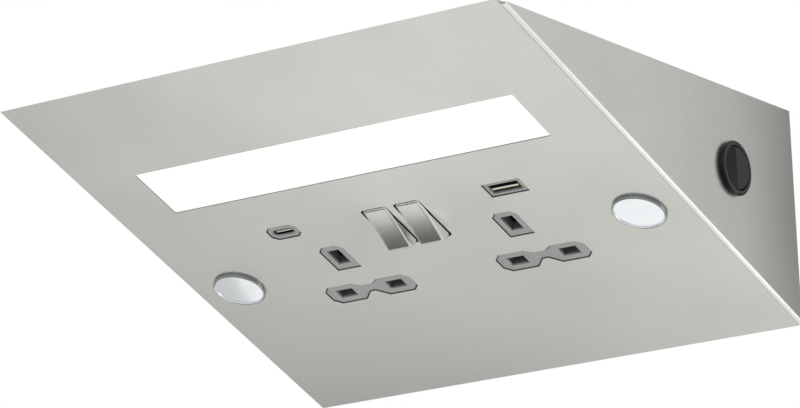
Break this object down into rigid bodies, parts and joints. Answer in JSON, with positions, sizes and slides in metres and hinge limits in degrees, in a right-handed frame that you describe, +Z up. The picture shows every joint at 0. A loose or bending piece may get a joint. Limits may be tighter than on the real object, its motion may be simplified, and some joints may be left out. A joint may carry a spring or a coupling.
{
  "type": "under-cabinet power socket",
  "caption": "Wedge-shaped brushed steel power unit for the underside of a wall cabinet, with switched three-pin sockets, USB ports, a light strip and a round light switch in its cheek.",
  "frame": {"origin": "middle of the flat top face, which lies against the cabinet", "axes": "+X to the right as seen from the front, +Y towards the wall, +Z up into the cabinet"},
  "size_m": [0.2174, 0.1965, 0.0805],
  "materials": {
    "fascia_steel": "fine brushed satin",
    "zinc_plate": "zinc plated, dull",
    "polished_chrome": "mirror polished",
    "rocker_metal": "fine brushed satin",
    "plated_fasteners": "bright zinc plated",
    "spring_steel": "bright wire",
    "contact_brass": "rolled, bright",
    "port_steel": "tin plated",
    "grey_moulding": "fine matt grain",
    "black_moulding": "matt",
    "gloss_black": "glossy",
    "opal_acrylic": "opal",
    "white_moulding": "matt",
    "port_cream": "matt",
    "circuit_board": "solder mask",
    "light_chip": "phosphor",
    "ferrite": "sintered, matt",
    "capacitor_sleeve": "shrunk sleeve",
    "grommet_rubber": "moulded"
  },
  "bodies": {
    "frame": {"fascia": "fascia_steel", "mounting_box": "zinc_plate", "cable_grommet": "grommet_rubber", "earth_stud": "contact_brass", "earth_nuts": "contact_brass", "screw_caps": "polished_chrome", "fixing_screws": "plated_fasteners", "fixing_brackets": "zinc_plate", "fixing_nuts": "plated_fasteners", "light_diffuser": "opal_acrylic", "light_tray": "zinc_plate", "light_board": "white_moulding", "light_chips": "light_chip", "tray_nuts": "plated_fasteners", "light_driver": "white_moulding", "driver_screws": "plated_fasteners", "socket_front": "grey_moulding", "socket_base": "black_moulding", "module_screws": "plated_fasteners", "panel_nuts": "plated_fasteners", "neutral_bar": "contact_brass", "earth_bar": "contact_brass", "live_bar": "contact_brass", "terminal_screws": "plated_fasteners", "usb_a_shell": "port_steel", "usb_a_insulator": "port_cream", "usb_a_pads": "contact_brass", "usb_a_board": "circuit_board", "usb_a_transformer": "ferrite", "usb_a_capacitor": "capacitor_sleeve", "usb_c_shell": "port_steel", "usb_c_insulator": "port_cream", "usb_c_board": "circuit_board", "usb_c_transformer": "ferrite", "usb_c_capacitor": "capacitor_sleeve", "light_switch_body": "gloss_black", "light_switch_blades": "contact_brass", "shutter_spring_left": "spring_steel", "live_contact_left": "contact_brass", "shutter_spring_right": "spring_steel", "live_contact_right": "contact_brass"},
    "rocker_left": {"rocker_cap_left": "rocker_metal", "rocker_core_left": "black_moulding", "rocker_plunger_left": "white_moulding", "rocker_spring_left": "spring_steel"},
    "contact_arm_left": {"contact_arm_left": "contact_brass"},
    "shutter_left": {"shutter_left": "black_moulding"},
    "rocker_right": {"rocker_cap_right": "rocker_metal", "rocker_core_right": "black_moulding", "rocker_plunger_right": "white_moulding", "rocker_spring_right": "spring_steel"},
    "contact_arm_right": {"contact_arm_right": "contact_brass"},
    "shutter_right": {"shutter_right": "black_moulding"},
    "light_rocker": {"light_switch_rocker": "gloss_black", "light_switch_plunger": "white_moulding"},
    "light_contact": {"light_switch_contact": "contact_brass"}
  },
  "joints": [
    {"name": "rocker_left_hinge", "type": "hinge", "parent": "frame", "child": "rocker_left", "pos_m": [-0.0071, 0.00371, -0.038], "axis": [1, 0, 0], "range_deg": [0, 29]},
    {"name": "contact_arm_left_hinge", "type": "hinge", "parent": "frame", "child": "contact_arm_left", "pos_m": [-0.0071, 0.00856, -0.02626], "axis": [1, 0, 0], "range_deg": [-16, 0]},
    {"name": "shutter_left_slide", "type": "slide", "parent": "frame", "child": "shutter_left", "axis": [0, 0.9243, -0.3816], "range_m": [0, 0.0056], "stiffness_N_per_m": 300, "springref_m": -0.003, "deforming": ["shutter_spring_left"]},
    {"name": "rocker_right_hinge", "type": "hinge", "parent": "frame", "child": "rocker_right", "pos_m": [0.0071, 0.00371, -0.038], "axis": [1, 0, 0], "range_deg": [0, 29]},
    {"name": "contact_arm_right_hinge", "type": "hinge", "parent": "frame", "child": "contact_arm_right", "pos_m": [0.0071, 0.00856, -0.02626], "axis": [1, 0, 0], "range_deg": [-16, 0]},
    {"name": "shutter_right_slide", "type": "slide", "parent": "frame", "child": "shutter_right", "axis": [0, 0.9243, -0.3816], "range_m": [0, 0.0056], "stiffness_N_per_m": 300, "springref_m": -0.003, "deforming": ["shutter_spring_right"]},
    {"name": "light_rocker_hinge", "type": "hinge", "parent": "frame", "child": "light_rocker", "pos_m": [0.1065, 0.0533, -0.0302], "axis": [0, 0, 1], "range_deg": [0, 24]},
    {"name": "light_contact_hinge", "type": "hinge", "parent": "frame", "child": "light_contact", "pos_m": [0.0989, 0.0533, -0.0302], "axis": [0, 0, 1], "range_deg": [-16, 0]}
  ],
  "couplings": [
    {"joint": "contact_arm_left_hinge", "follows": "rocker_left_hinge", "ratio": -0.55172},
    {"joint": "contact_arm_right_hinge", "follows": "rocker_right_hinge", "ratio": -0.55172},
    {"joint": "light_contact_hinge", "follows": "light_rocker_hinge", "ratio": -0.66667}
  ]
}
